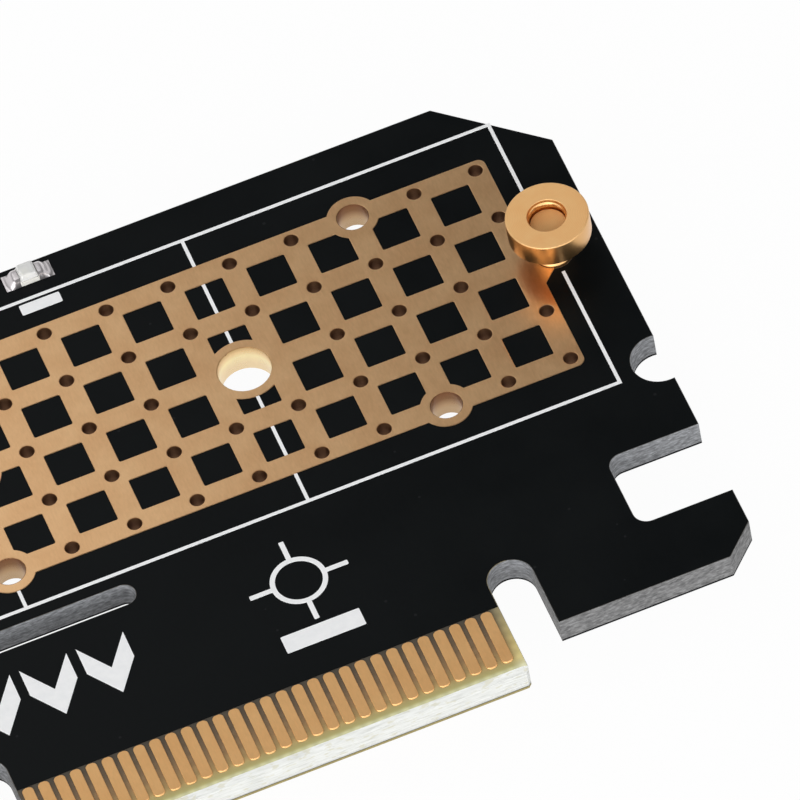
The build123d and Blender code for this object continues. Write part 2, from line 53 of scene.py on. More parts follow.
MODULE_Y = 28.4
LENGTH_HOLES = [(35.0, MODULE_Y), (47.0, MODULE_Y), (65.0, MODULE_Y)]
LENGTH_HOLE_R, LENGTH_LAND_R = 1.7, 2.25
SINK_HOLES = [(x, MODULE_Y + y) for x in (47.0, 75.0) for y in (-8, 8)]
SINK_HOLE_R, SINK_LAND_R = 1.025, 1.6
LINER_WALL, LINER_PROUD = 0.05, 0.03
LAND_PROUD, LAND_RIM, LAND_LAP = 0.03, 0.01, 0.02
CLAMP = (85.0, MODULE_Y)
STUD_R = 1.2

COLUMN_XS = [83.0 - 4.0 * n for n in range(13)]
ROW_YS = [MODULE_Y + 4.0 * (n - 2) for n in range(5)]
HALF_PITCH = 2.0
LATTICE_BORDER = 0.75
WINDOW, WINDOW_CORNER = 2.45, 0.1
NET_FOOT, NET_RIM, NET_CORNER, NET_STEP = -0.02, 0.03, 0.5, 0.03
TAB_END, TAB_ROOT, TAB_TIP = 85.05, 2.0, 0.75
VIA_R, VIA_LAND_R, VIA_KEEP_OUT = 0.5, 0.75, 2.3
BARREL_WALL, BARREL_PROUD, BARREL_SUNK = 0.07, 0.02, 0.01

FINGER_W, FINGER_CORNER = 0.7, 0.28
FINGER_LOW, FINGER_HIGH = 0.9, 4.93
FINGER_RIM, FINGER_BEVEL, FINGER_SUNK = 0.028, 0.06, 0.01
FINGER_XS = [-11.5 + n for n in range(11)] + [1.5 + n for n in range(71) if n not in (38, 39, 40)]

INK_FOOT, INK_TOP, INK_RIM = -0.004, 0.03, 0.012
LINE_W = 0.22
MODULE_EDGE = 11.0
FRAME_LEFT = 10.6
CLAMP_LINE_GAP = 1.6
LENGTH_LINE_STARTS = [8.75, 9.4, 8.75]
FREE_LINE_SPANS = [(2.2, 3.225), (4.775, 7.225)]
ARROW_XS = [42.9, 46.5, 50.1]
BAR_X, BAR_Y, BAR_CORNER = (59.9, 64.9), (7.3, 8.6), 0.06
FIELD_HALF_W, FIELD_Y, FIELD_CORNER = 1.3, (38.3, 39.1), 0.08

LAMP_XS = [55.6 - 30.0 * n for n in range(4)]
LAMP_Y = 41.05
LAMP_HALF_L, LAMP_HALF_D = 0.6, 0.625
RESISTOR_XS = [x - 6.0 for x in LAMP_XS]
CAPACITOR_X = -4.5
CAPACITOR_YS = [20.4, 25.4, 31.4, 36.4]
CHIP_LAND = 0.05

CONTACT_PITCH = 0.25
MIDDLE_PLACE = 38
KEY_PLACES = range(59, 67)
UPPER_PLACES = [n for n in range(1, 76, 2) if n not in KEY_PLACES]
LOWER_PLACES = [n for n in range(2, 76, 2) if n not in KEY_PLACES]
SLOT_HALF_W = 0.12
SPRING_W, SPRING_T = 0.18, 0.1
PAD_HALF_W, PAD_RIM = 0.15, 0.06
SCREWS = [(-51.2, 15.0), (-51.2, 36.0)]

FLOOR_Z = -4.5
SEAM = 0.001
FLAT_SEAM = 0.0001
CAP_SEAM = 0.0000001
LEAST_SPREAD = 0.45
TOP, SIDE, BACK = 0, 1, 2

# Angles in degrees, and reaches on the CAD nodes in metres
SHARP_ANGLE = 38.0
SOFT_ANGLE = 30.0
LEVEL_ANGLE = 1.0
NODE_WELD = 1e-7
NODE_CUT_REACH = 1e-9


# Shaders: a node tree with short ways to add to it

class Shading:
    """A node tree; what its nodes are given may be a value or another node's output."""

    def __init__(self, tree):
        self.tree = tree

    def put(self, value, socket):
        if isinstance(value, bpy.types.NodeSocket):
            self.tree.links.new(value, socket)
        elif socket.type == "RGBA":
            socket.default_value = (*value, 1.0)
        else:
            socket.default_value = value

    def node(self, kind, inputs=None, **settings):
        made = self.tree.nodes.new("ShaderNode" + kind)
        for key, value in settings.items():
            setattr(made, key, value)
        for key, value in (inputs or {}).items():
            self.put(value, made.inputs[key])
        return made

    def math(self, how, *values, clamp=False):
        return self.node("Math", dict(enumerate(values)), operation=how, use_clamp=clamp).outputs[0]

    def place(self, kind="Object"):
        """The point's place in the part's frame, in metres, or another kind of coordinate."""
        return self.node("TexCoord").outputs[kind]

    def axis(self, letter, kind="Object"):
        return self.node("SeparateXYZ", {"Vector": self.place(kind)}).outputs[letter]

    def ramp(self, factor, stops):
        """A colour ramp from (place, colour) stops."""
        made = self.node("ValToRGB", {"Fac": factor})
        bar = made.color_ramp
        while len(bar.elements) < len(stops):
            bar.elements.new(1.0)
        for element, (place, colour) in zip(bar.elements, stops):
            element.position = place
            element.color = (*colour, 1.0)
        return made.outputs["Color"]

    def mix(self, factor, first, second, how="MIX"):
        inputs = {0: factor, 6: first, 7: second}
        return self.node("Mix", inputs, data_type="RGBA", blend_type=how).outputs[2]

    def shaded(self, colour, tone, darkest):
        """A colour times a grey that goes with a tone from its darkest level to white."""
        grey = self.ramp(tone, [(0.0, (darkest,) * 3), (1.0, (1.0,) * 3)])
        return self.mix(1.0, colour, grey, "MULTIPLY")

    def spread(self, value, low, high, to_low=0.0, to_high=1.0):
        """A value carried from one range to another, with its ends held."""
        ends = {"Value": value, "From Min": low, "From Max": high, "To Min": to_low, "To Max": to_high}
        return self.node("MapRange", ends).outputs["Result"]

    def used(self, group, inputs):
        """The output of an effect group placed here with its own values."""
        return self.node("Group", inputs, node_tree=group).outputs[0]

    def streaks(self, stretch, contrast):
        return self.used(STREAKS, {"Stretch": stretch, "Contrast": contrast})

    def clouds(self, scale, high=1.0):
        return self.used(CLOUDS, {"Scale": scale, "Low": 0.0, "High": high})


class Finish(Shading):
    """A material in the making: its node tree, and its shader with the plain sockets set."""

    def __init__(self, name, **sockets):
        self.made = bpy.data.materials.new(name)
        self.made.use_nodes = True
        super().__init__(self.made.node_tree)
        self.shader = self.tree.nodes["Principled BSDF"]
        self.feed(**sockets)

    def feed(self, **sockets):
        for key, value in sockets.items():
            self.put(value, self.shader.inputs[key.replace("_", " ")])

    def relief(self, height, strength, depth):
        """A bump from a height, with its depth in metres."""
        bump = self.node("Bump", {"Height": height, "Strength": strength, "Distance": depth})
        self.feed(Normal=bump.outputs["Normal"])

    def surface(self, colour, fine, rough, bump=None):
        """The material with its colour, and with roughness and a bump from a fine pattern."""
        self.feed(Base_Color=colour, Roughness=self.spread(fine, 0.0, 1.0, *rough))
        if bump:
            self.relief(fine, *bump)
        return self.made


def effect(name, inputs, output):
    """An empty shader group: itself, its named inputs and the output to fill."""
    tree = bpy.data.node_groups.new(name, "ShaderNodeTree")
    for label, value in inputs.items():
        kind = "NodeSocketFloat" if isinstance(value, float) else "NodeSocketVector"
        tree.interface.new_socket(label, in_out="INPUT", socket_type=kind).default_value = value
    tree.interface.new_socket(output, in_out="OUTPUT", socket_type="NodeSocketFloat")
    given = tree.nodes.new("NodeGroupInput").outputs
    return Shading(tree), given, tree.nodes.new("NodeGroupOutput").inputs[output]


def drawn_streaks():
    """Long fine lines left by a tool, along whichever axis the stretch is small."""
    group, given, result = effect("drawn_streaks", {"Stretch": (1.0, 1.0, 1.0), "Contrast": 1.0}, "Streak")
    drawn = group.node("VectorMath", {0: group.place(), 1: given["Stretch"]}, operation="MULTIPLY")
    noise = group.node("TexNoise", {"Vector": drawn.outputs["Vector"], "Scale": 1.0, "Detail": 4.0})
    centred = group.math("SUBTRACT", noise.outputs["Fac"], 0.5)
    group.put(group.math("MULTIPLY_ADD", centred, given["Contrast"], 0.5, clamp=True), result)
    return group.tree


def cloudy_tone():
    """A soft uneven tone, as of handling, plating or a cast."""
    group, given, result = effect("cloudy_tone", {"Scale": 100.0, "Low": 0.0, "High": 1.0}, "Tone")
    inputs = {"Vector": group.place(), "Scale": given["Scale"], "Detail": 3.0, "Roughness": 0.55}
    noise = group.node("TexNoise", inputs).outputs["Fac"]
    group.put(group.spread(noise, 0.3, 0.7, given["Low"], given["High"]), result)
    return group.tree


STREAKS = drawn_streaks()
CLOUDS = cloudy_tone()


def board_mask_finish():
    """Soft black mask with a few paler specks and a fine peel."""
    mat = Finish("black_solder_mask", Specular_IOR_Level=0.08)
    tone = mat.clouds(160.0)
    black = mat.mix(tone, (0.0022, 0.0032, 0.0037), (0.0036, 0.0048, 0.0053))
    cells = mat.node("TexVoronoi", {"Vector": mat.place(), "Scale": 900.0}).outputs
    chance = mat.node("SeparateColor", {"Color": cells["Color"]}).outputs["Red"]
    near = mat.math("LESS_THAN", cells["Distance"], 0.09)
    speck = mat.math("MULTIPLY", near, mat.math("GREATER_THAN", chance, 0.86))
    mat.relief(mat.clouds(2600.0), 0.25, 0.00001)
    return mat.surface(mat.mix(speck, black, (0.012, 0.013, 0.014)), tone, (0.3, 0.4))


def plated_finish(name, dark, light, rough):
    """Satin plating: a cloudy tone under a fine brushed grain."""
    mat = Finish(name, Metallic=1.0)
    grain = mat.streaks((9000.0, 2500.0, 9000.0), 1.4)
    warm = mat.mix(mat.clouds(420.0), dark, light)
    brushed = mat.ramp(grain, [(0.0, (0.5, 0.3, 0.14)), (1.0, (0.95, 0.62, 0.32))])
    return mat.surface(mat.mix(0.25, warm, brushed), grain, rough, (0.2, 0.000008))


def painted_hole_wall_finish(name, stops):
    """Plating in the larger holes, with tones from the mouth down to the foot: painted shade at the mouth and
    painted reflected light lower down.
    """
    mat = Finish(name, Metallic=1.0)
    tone = mat.clouds(900.0)
    down = mat.spread(mat.axis("Z"), 0.0, -0.0014)
    return mat.surface(mat.shaded(mat.ramp(down, stops), tone, 0.9), tone, (0.24, 0.34))


def laminate_face_finish():
    """Bare glass-epoxy: dark at the mask, brown between fingers, pale at the bevel and the last finger."""
    mat = Finish("bare_laminate", Specular_IOR_Level=0.15)
    inputs = {"Vector": mat.place(), "Scale": 420.0, "Distortion": 1.5, "Detail": 2.0}
    threads = [mat.node("TexWave", inputs, bands_direction=way).outputs["Fac"] for way in "XY"]
    cloth = mat.math("MULTIPLY", *threads)
    down = mat.spread(mat.axis("Y"), FINGER_HIGH * MM, 0.0004)
    between = [(0.0, (0.092, 0.08, 0.063)), (0.34, (0.21, 0.15, 0.092)), (0.6, (0.36, 0.233, 0.116))]
    between += [(0.82, (0.51, 0.362, 0.156)), (0.955, (0.57, 0.51, 0.215)), (1.0, (0.77, 0.75, 0.44))]
    beside = [(0.0, (0.4, 0.34, 0.19)), (0.6, (0.7, 0.57, 0.235))]
    beside += [(0.88, (0.88, 0.76, 0.34)), (1.0, (0.93, 0.91, 0.62))]
    along = mat.axis("X")
    at_end = mat.spread(along, 0.0716, 0.0724)
    past_tongue = mat.spread(along, 0.0739, 0.0741)
    olive = mat.mix(at_end, mat.ramp(down, between), mat.ramp(down, beside))
    olive = mat.mix(past_tongue, olive, (0.07, 0.066, 0.056))
    return mat.surface(mat.shaded(olive, cloth, 0.86), cloth, (0.42, 0.55), (0.15, 0.00001))


def routed_edge_finish():
    """The routed edge: grey glass ends drawn into lines by the cutter, made paler with painted light from 7
    mm above the seating edge up, in the slots too.
    """
    mat = Finish("routed_edge", Specular_IOR_Level=0.35)
    lines = mat.streaks((2400.0, 2400.0, 7000.0), 2.2)
    fibres = mat.streaks((3500.0, 3500.0, 12000.0), 2.6)
    stops = [(0.0, (0.075, 0.075, 0.076)), (0.5, (0.142, 0.142, 0.143)), (1.0, (0.24, 0.24, 0.242))]
    pale = mat.spread(fibres, 0.6, 1.0, 0.0, 0.4)
    cut = mat.mix(pale, mat.ramp(lines, stops), (0.38, 0.38, 0.385))
    # Painted light: from 7 mm above the seating edge up, the cut walls are 1.36 to 1.46 times paler, as if
    # lit from the floor below through the slots.
    cut_lifted_by_painted_light = mat.mix(1.0, cut, (1.36, 1.4, 1.46), "MULTIPLY")
    painted_light_above_tongue = mat.spread(mat.axis("Y"), 0.0066, 0.007)
    return mat.surface(mat.mix(painted_light_above_tongue, cut, cut_lifted_by_painted_light), lines, (0.7, 0.5), (0.2, 0.00002))


def milled_tongue_finish():
    """The tongue's milled edge: white glass fibre over a grey line, a dark layer and an olive one."""
    mat = Finish("milled_tongue_edge", Specular_IOR_Level=0.35)
    lines = mat.streaks((700.0, 700.0, 9000.0), 2.0)
    chips = mat.streaks((1500.0, 2600.0, 4200.0), 3.0)
    stops = [(0.0, (0.5, 0.51, 0.48)), (0.45, (0.66, 0.67, 0.645)), (1.0, (0.76, 0.77, 0.75))]
    worn = mat.spread(chips, 0.7, 0.9, 0.0, 0.6)
    layers = mat.mix(worn, mat.ramp(lines, stops), (0.55, 0.53, 0.4))
    height = mat.axis("Z")
    for start, end, share, colour in (
        (-0.00146, -0.00156, 0.6, (0.46, 0.47, 0.48)),
        (-0.0016, -0.00163, 1.0, (0.06, 0.055, 0.04)),
        (-0.00165, -0.00167, 1.0, (0.25, 0.21, 0.085)),
    ):
        layers = mat.mix(mat.spread(height, start, end, 0.0, share), layers, colour)
    return mat.surface(layers, lines, (0.75, 0.55), (0.4, 0.00002))


def clamp_brass_finish():
    """Turned brass: pale faces with fine rings about the clamp's axis, and sides painted a deeper, darker
    orange as a painted reflection of the copper and black mask beside the clamp.
    """
    mat = Finish("turned_brass", Metallic=1.0)
    middle = (CLAMP[0] * MM, CLAMP[1] * MM, 0.0)
    centred = mat.node("VectorMath", {0: mat.place(), 1: middle}, operation="SUBTRACT")
    inputs = {"Vector": centred.outputs["Vector"], "Scale": 3200.0, "Distortion": 1.0, "Detail": 2.0}
    rings = mat.node("TexWave", inputs, wave_type="RINGS", rings_direction="Z").outputs["Fac"]
    warm = mat.mix(mat.clouds(700.0), (0.98, 0.65, 0.31), (1.0, 0.715, 0.37))
    turned = mat.ramp(rings, [(0.0, (0.55, 0.33, 0.14)), (1.0, (0.95, 0.7, 0.4))])
    # Up-facing mask: it gives the faced tops their pale colour and rougher finish, and paints the sides a
    # deeper, darker orange as a painted reflection.
    faced_and_painted_light = mat.spread(mat.axis("Z", "Normal"), 0.6, 0.98)
    mat.relief(rings, 0.04, 0.000005)
    both = mat.mix(faced_and_painted_light, (0.74, 0.43, 0.18), mat.mix(0.1, warm, turned))
    return mat.surface(both, faced_and_painted_light, (0.31, 0.8))


def toned_finish(name, scale, dark, light, rough, bump=None, **sockets):
    """One uneven tone that sets colour, roughness and bump together."""
    mat = Finish(name, **sockets)
    tone = mat.clouds(scale)
    return mat.surface(mat.mix(tone, dark, light), tone, rough, bump)


def moulded_finish(name, dark, light, rough):
    """Moulded or fired pieces: an uneven tone and a fine grain."""
    mat = Finish(name, Specular_IOR_Level=0.4)
    colour = mat.mix(mat.clouds(600.0), dark, light)
    return mat.surface(colour, mat.clouds(3500.0), rough, (0.2, 0.00001))


def bright_metal_finish(name, dark, light, rough, stretch):
    """Plated or tinned metal with a drawn grain."""
    mat = Finish(name, Metallic=1.0)
    grain = mat.streaks(stretch, 1.6)
    colour = mat.mix(mat.clouds(90.0, 0.35), mat.mix(grain, dark, light), dark)
    return mat.surface(colour, grain, rough, (0.12, 0.00001))


MASK = board_mask_finish()
COPPER = plated_finish("plated_copper", (0.72, 0.415, 0.205), (0.82, 0.515, 0.27), (0.27, 0.37))
FINGER_GOLD = plated_finish("finger_gold", (0.92, 0.53, 0.215), (0.98, 0.6, 0.26), (0.48, 0.62))
LAMINATE = laminate_face_finish()
ROUTED = routed_edge_finish()
MILLED = milled_tongue_finish()
BRASS = clamp_brass_finish()
VIA_WALL = toned_finish(
    "via_wall", 1500.0, (0.16, 0.075, 0.035), (0.3, 0.165, 0.085), (0.45, 0.6), Metallic=1.0
)
PRINT = toned_finish(
    "white_print_ink", 1800.0, (0.92, 0.93, 0.94), (0.98, 0.985, 0.99), (0.5, 0.65), (0.2, 0.00001),
    Specular_IOR_Level=0.3,
)
# The lamp cap's milky white is partly the resin's own colour and partly painted glare: the clear cap is
# whitened and made less see-through so it looks as bright as its highlight.
CAP_RESIN_AND_PAINTED_GLARE = toned_finish(
    "lamp_resin_and_painted_glare", 1200.0, (0.95, 0.96, 0.93), (0.99, 0.99, 0.98), (0.06, 0.18),
    Transmission_Weight=0.25, IOR=1.5,
)
SOCKET = moulded_finish("socket_plastic", (0.012, 0.012, 0.013), (0.022, 0.022, 0.024), (0.42, 0.6))
CERAMIC = moulded_finish("lamp_base_ceramic", (0.74, 0.73, 0.68), (0.86, 0.85, 0.8), (0.45, 0.6))
GLAZE = moulded_finish("resistor_glaze", (0.014, 0.014, 0.016), (0.03, 0.03, 0.033), (0.2, 0.32))
CAPACITOR = moulded_finish("capacitor_ceramic", (0.3, 0.2, 0.115), (0.42, 0.3, 0.19), (0.45, 0.62))
BACK_LAMINATE = moulded_finish("back_laminate", (0.26, 0.21, 0.085), (0.36, 0.3, 0.125), (0.45, 0.6))
LAMP_DIE = moulded_finish("lamp_die", (0.8, 0.62, 0.2), (0.9, 0.78, 0.35), (0.3, 0.45))
TIN, SOLDER, STEEL, SCREW = [
    bright_metal_finish(*look)
    for look in (
        ("tinned_contact", (0.55, 0.54, 0.5), (0.78, 0.77, 0.73), (0.22, 0.38), (2500.0, 9000.0, 9000.0)),
        ("bright_solder", (0.66, 0.62, 0.63), (0.84, 0.81, 0.82), (0.26, 0.4), (900.0, 900.0, 900.0)),
        ("bracket_nickel", (0.5, 0.51, 0.52), (0.74, 0.75, 0.76), (0.24, 0.38), (9000.0, 160.0, 9000.0)),
        ("screw_plating", (0.45, 0.45, 0.46), (0.7, 0.7, 0.71), (0.22, 0.36), (4000.0, 4000.0, 900.0)),
    )
]
# Painted: a dark rim of shade at the mouth, a painted highlight halfway down and paler reflected light
# towards the foot.
LENGTH_HOLE_WALL = painted_hole_wall_finish(
    "length_hole_wall",
    [(0.0, (0.65, 0.43, 0.2)), (0.2, (0.88, 0.62, 0.32)), (0.5, (0.98, 0.82, 0.47)), (1.0, (0.9, 0.7, 0.43))],
)
# Painted: deep shade down the upper part of the wall, then lighter towards the foot as painted reflected
# light.
SINK_HOLE_WALL = painted_hole_wall_finish(
    "sink_hole_wall",
    [
        (0.0, (0.24, 0.105, 0.047)), (0.36, (0.25, 0.125, 0.058)),
        (0.8, (0.47, 0.3, 0.165)), (1.0, (0.5, 0.34, 0.2)),
    ],
)


# Meshes: points are in millimetres and are turned into metres when an object is made

def shown(name, data):
    """A new object of the scene that holds a mesh, a lamp or a camera."""
    made = bpy.data.objects.new(name, data)
    bpy.context.scene.collection.objects.link(made)
    return made


def placed(name, shape, finishes, smooth=False):
    """An object from points, faces and parts, with flat tops and backs unless all is smooth."""
    points, faces, parts = shape
    mesh = bpy.data.meshes.new(name)
    mesh.from_pydata([(x * MM, y * MM, z * MM) for x, y, z in points], [], faces)
    for finish in finishes:
        mesh.materials.append(finish)
    mesh.update()
    mesh.set_sharp_from_angle(angle=math.radians(SHARP_ANGLE))
    mesh.polygons.foreach_set("use_smooth", [smooth or part == SIDE for part in parts])
    return shown(name, mesh)


def fitted(piece, slot, *nodes):
    """The piece rides on the card and stands for its CAD nodes, which are hidden; its finish slot is not
    used.
    """
    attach(piece, "root")
    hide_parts(*nodes)


def built(name, shapes, finish, slot, *nodes, smooth=False):
    """One piece of one or more shapes in a single finish, fitted to the card."""
    fitted(placed(name, joined(shapes), [finish], smooth=smooth), slot, *nodes)


def ring(x, y, radius, count=40):
    turn = 2 * math.pi / count
    return [(x + radius * math.cos(turn * n), y + radius * math.sin(turn * n)) for n in range(count)]


def about(middle, half):
    """The two limits at half a width from a middle."""
    return middle - half, middle + half


def oblong(x, y):
    """A rectangle between two limits along X and Y."""
    return [(x[0], y[0]), (x[1], y[0]), (x[1], y[1]), (x[0], y[1])]


def round_box(x, y, corner, count=5):
    """A rectangle with round corners."""
    quarter = [math.pi / 2 * n / count for n in range(count + 1)]
    middles = oblong((x[0] + corner, x[1] - corner), (y[0] + corner, y[1] - corner))
    points = []
    for n, (cx, cy) in enumerate(middles[1:] + middles[:1]):
        start = math.pi / 2 * (n - 1)
        points += [(cx + corner * math.cos(start + a), cy + corner * math.sin(start + a)) for a in quarter]
    return points


def area(loop):
    return sum(a[0] * b[1] - b[0] * a[1] for a, b in zip(loop, loop[1:] + loop[:1])) / 2


def covered(loops):
    """A test for points in a flat shape of loops, by counting crossings."""
    starts = np.array([p for loop in loops for p in loop])
    ends = np.array([p for loop in loops for p in loop[1:] + loop[:1]])

    def test(xs, ys):
        inside = np.zeros(len(xs), bool)
        for (ax, ay), (bx, by) in zip(starts, ends):
            if ay == by:
                continue
            crosses = (ay > ys) != (by > ys)
            inside ^= crosses & (xs < (bx - ax) * (ys - ay) / (by - ay) + ax)
        return inside

    return test


def in_any(shapes):
    """A test for points in at least one of several flat shapes."""
    tests = [covered(loops) for loops in shapes]
    return lambda xs, ys: np.any([test(xs, ys) for test in tests], axis=0)


def triangles_in(outlines, test, seam):
    """The upward triangles between flat outlines that a test keeps: points, faces and each point's source."""
    points, edges = [], []
    for loop in outlines:
        first = len(points)
        points += [Vector(p) for p in loop]
        edges += [(first + n, first + (n + 1) % len(loop)) for n in range(len(loop))]
    made, _, faces, sources, _, _ = delaunay_2d_cdt(points, edges, [], 0, seam)
    made = [(p.x, p.y) for p in made]
    spots = np.array([np.mean([made[i] for i in face], axis=0) for face in faces])
    kept = [face for face, keep in zip(faces, test(spots[:, 0], spots[:, 1])) if keep]
    return made, [face if area([made[i] for i in face]) > 0 else face[::-1] for face in kept], sources


def around(loop):
    """Each point of a loop between the ones before and after it."""
    return zip(loop[-1:] + loop[:-1], loop, loop[1:] + loop[:1])


def thinned(loop):
    """A loop without points that lie on the one before them or on a straight run."""
    apart = [here for before, here, _ in around(loop) if math.dist(before, here) > SEAM]
    return [b for a, b, c in around(apart) if abs(area([a, b, c])) > SEAM * math.dist(a, c) / 2]


def region(outlines, test):
    """The loops round every triangle that the test keeps, with the material on their left."""
    made, faces, _ = triangles_in(outlines, test, FLAT_SEAM)
    sides = {side for face in faces for side in zip(face, face[1:] + face[:1])}
    onward = {}
    for a, b in sorted(sides):
        if (b, a) not in sides:
            onward.setdefault(a, []).append(b)
    loops = []
    while onward:
        start = here = min(onward)
        walk = []
        while not walk or here != start:
            walk.append(here)
            here = onward[here].pop()
            if not onward[walk[-1]]:
                del onward[walk[-1]]
        loops.append(thinned([made[i] for i in walk]))
    return loops


def inward(loop):
    """For each point of a loop, the step to its left that keeps both edges at one distance."""
    steps = []
    for before, here, after in around(loop):
        normals = []
        for a, b in ((before, here), (here, after)):
            length = math.hypot(b[0] - a[0], b[1] - a[1]) or 1.0
            normals.append(((a[1] - b[1]) / length, (b[0] - a[0]) / length))
        (ax, ay), (bx, by) = normals
        spread_by = max(1 + ax * bx + ay * by, LEAST_SPREAD)
        steps.append(((ax + bx) / spread_by, (ay + by) / spread_by))
    return steps


def plate_shape(loops, low, high, rim, steps=2, bevel=None):
    """Points, faces and parts of a flat piece with rounded rims.

    A bevel is a test for points of the loops and the width of a flat bevel in place of their upper rim."""
    turns = [n / steps for n in range(steps + 1)]
    levels = [(t, low, 1) for t in turns] + [(t, high, -1) for t in reversed(turns)]
    points, faces, parts, tops, backs = [], [], [], [], []
    for loop in loops:
        first, count = len(points), len(loop)
        steps_in = list(zip(loop, inward(loop)))
        for t, base, up in levels:
            for (x, y), (dx, dy) in steps_in:
                if bevel and up < 0 and bevel[0](x, y):
                    inset, rise = bevel[1] * (1 - t), bevel[1] * t
                else:
                    inset = rim * (1 - math.sin(t * math.pi / 2))
                    rise = rim * (1 - math.cos(t * math.pi / 2))
                points.append((x + dx * inset, y + dy * inset, base + up * rise))
        for a in range(first, len(points) - count, count):
            for n in range(count):
                m = (n + 1) % count
                faces.append((a + n, a + m, a + count + m, a + count + n))
                parts.append(SIDE)
        backs.append(range(first, first + count))
        tops.append(range(len(points) - count, len(points)))
    for rings, part in ((tops, TOP), (backs, BACK)):
        order = [i for loop in rings for i in loop]
        rows = [[points[i][:2] for i in loop] for loop in rings]
        _, triangles, sources = triangles_in(rows, covered(rows), CAP_SEAM)
        for triangle in triangles:
            corners = tuple(order[sources[i][0]] for i in triangle)
            faces.append(corners if part == TOP else corners[::-1])
            parts.append(part)
    return points, faces, parts


def joined(shapes):
    """Several shapes of points, faces and parts as one."""
    points, faces, parts = [], [], []
    for some_points, some_faces, some_parts in shapes:
        first = len(points)
        points += some_points
        faces += [tuple(first + i for i in face) for face in some_faces]
        parts += some_parts
    return points, faces, parts


def turned_shape(centre, profile, count, closed=False, pitch=1.0):
    """A piece turned about an upright axis from rows of radius, height and thread depth.

    The rows go up its outside from the foot. Level rings count as tops and the rest as sides."""
    points, faces, parts, rows = [], [], [], []
    for radius, height, depth in profile:
        if radius == 0:
            rows.append([len(points)] * count)
            points.append((*centre, height))
            continue
        rows.append(list(range(len(points), len(points) + count)))
        for n in range(count):
            turn = n / count
            wave = abs(((height / pitch - turn) % 1.0) * 2 - 1)
            reach = radius + depth * wave
            angle = 2 * math.pi * turn
            points.append((centre[0] + reach * math.cos(angle), centre[1] + reach * math.sin(angle), height))
    steps = list(zip(rows, profile))
    for (lower, here), (upper, there) in zip(steps, steps[1:] + steps[:1] if closed else steps[1:]):
        for n in range(count):
            m = (n + 1) % count
            corners = (lower[n], lower[m], upper[m], upper[n])
            faces.append(tuple(dict.fromkeys(corners)))
            parts.append(TOP if here[1] == there[1] else SIDE)
    return points, faces, parts


def plain_rows(*places):
    """Profile rows without a thread, from (radius, height) places."""
    return [(radius, height, 0.0) for radius, height in places]


def rim_rows(radius, height, rim, start, end, steps=4):
    """Profile rows of a round rim: an arc about (radius, height) between two angles in degrees."""
    turns = [math.radians(start + (end - start) * n / steps) for n in range(steps + 1)]
    return plain_rows(*[(radius + rim * math.cos(turn), height + rim * math.sin(turn)) for turn in turns])


def thread_rows(radius, low, high, depth, pitch, per_turn=8):
    """Profile rows of a thread that fades out at both ends."""
    count = max(2, int(abs(high - low) / pitch * per_turn))
    rows = []
    for n in range(count + 1):
        height = low + (high - low) * n / count
        fade = min(1.0, 2 * abs(height - low) / pitch, 2 * abs(high - height) / pitch)
        rows.append((radius, height, depth * fade))
    return rows


def flanks(path, width):
    """The points on both sides of a flat path, half a width away."""
    left, right = [], []
    for n, (x, y) in enumerate(path):
        before, after = path[max(n - 1, 0)], path[min(n + 1, len(path) - 1)]
        dx, dy = after[0] - before[0], after[1] - before[1]
        reach = width / 2 / math.hypot(dx, dy)
        left.append((x - dy * reach, y + dx * reach))
        right.append((x + dy * reach, y - dx * reach))
    return left, right


def node_mesh(node):
    """A CAD node's mesh with its seams closed."""
    work = bmesh.new()
    work.from_mesh(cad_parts[node].data)
    bmesh.ops.remove_doubles(work, verts=work.verts, dist=NODE_WELD)
    return work


def outline_of(node, height):
    """The loops of a CAD node cut at a height, in millimetres, with the material on their left."""
    work = node_mesh(node)
    geom = work.verts[:] + work.edges[:] + work.faces[:]
    plane = {"plane_co": (0.0, 0.0, height * MM), "plane_no": (0.0, 0.0, 1.0), "dist": NODE_CUT_REACH}
    cut = bmesh.ops.bisect_plane(work, geom=geom, clear_outer=True, clear_inner=True, **plane)
    near = {}
    for edge in cut["geom_cut"]:
        if isinstance(edge, bmesh.types.BMEdge):
            for vert in edge.verts:
                near.setdefault(vert, []).append(edge.other_vert(vert))
    loops = []
    left = dict.fromkeys(sorted(near, key=lambda v: (v.co.x, v.co.y)))
    while left:
        walk = []
        ahead = list(left)[:1]
        while ahead:
            walk.append(ahead[0])
            del left[ahead[0]]
            ahead = sorted((v for v in near[walk[-1]] if v in left), key=lambda v: (v.co.x, v.co.y))
        loops.append(thinned([(v.co.x / MM, v.co.y / MM) for v in walk]))
    work.free()
    loops.sort(key=lambda loop: -abs(area(loop)))
    return [loop if (area(loop) > 0) == (n == 0) else loop[::-1] for n, loop in enumerate(loops)]


def softened(name, node, width, finish):
    """A copy of a CAD node whose sharp edges are rounded."""
    work = node_mesh(node)
    bmesh.ops.dissolve_limit(work, angle_limit=math.radians(LEVEL_ANGLE), verts=work.verts, edges=work.edges)
    level, limit = 0.01, math.radians(SOFT_ANGLE)
    sharp = [e for e in work.edges if len(e.link_faces) == 2 and e.calc_face_angle() > limit]
    for face in work.faces:
        face.smooth = any(len(e.link_faces) == 2 and level < e.calc_face_angle() < limit for e in face.edges)
    how = {"offset_type": "OFFSET", "segments": 2, "profile": 0.5, "affect": "EDGES", "clamp_overlap": True}
    rounded = bmesh.ops.bevel(work, geom=sharp, offset=width * MM, **how)
    for face in rounded["faces"]:
        face.smooth = True
    mesh = bpy.data.meshes.new(name)
    work.to_mesh(mesh)
    soft = [face.smooth for face in work.faces]
    work.free()
    mesh.materials.append(finish)
    mesh.polygons.foreach_set("material_index", [0] * len(mesh.polygons))
    mesh.set_sharp_from_angle(angle=math.radians(SHARP_ANGLE))
    mesh.polygons.foreach_set("use_smooth", soft)
    return shown(name, mesh)


# The board: laminate core, black mask on both sides and the walls of its plated holes

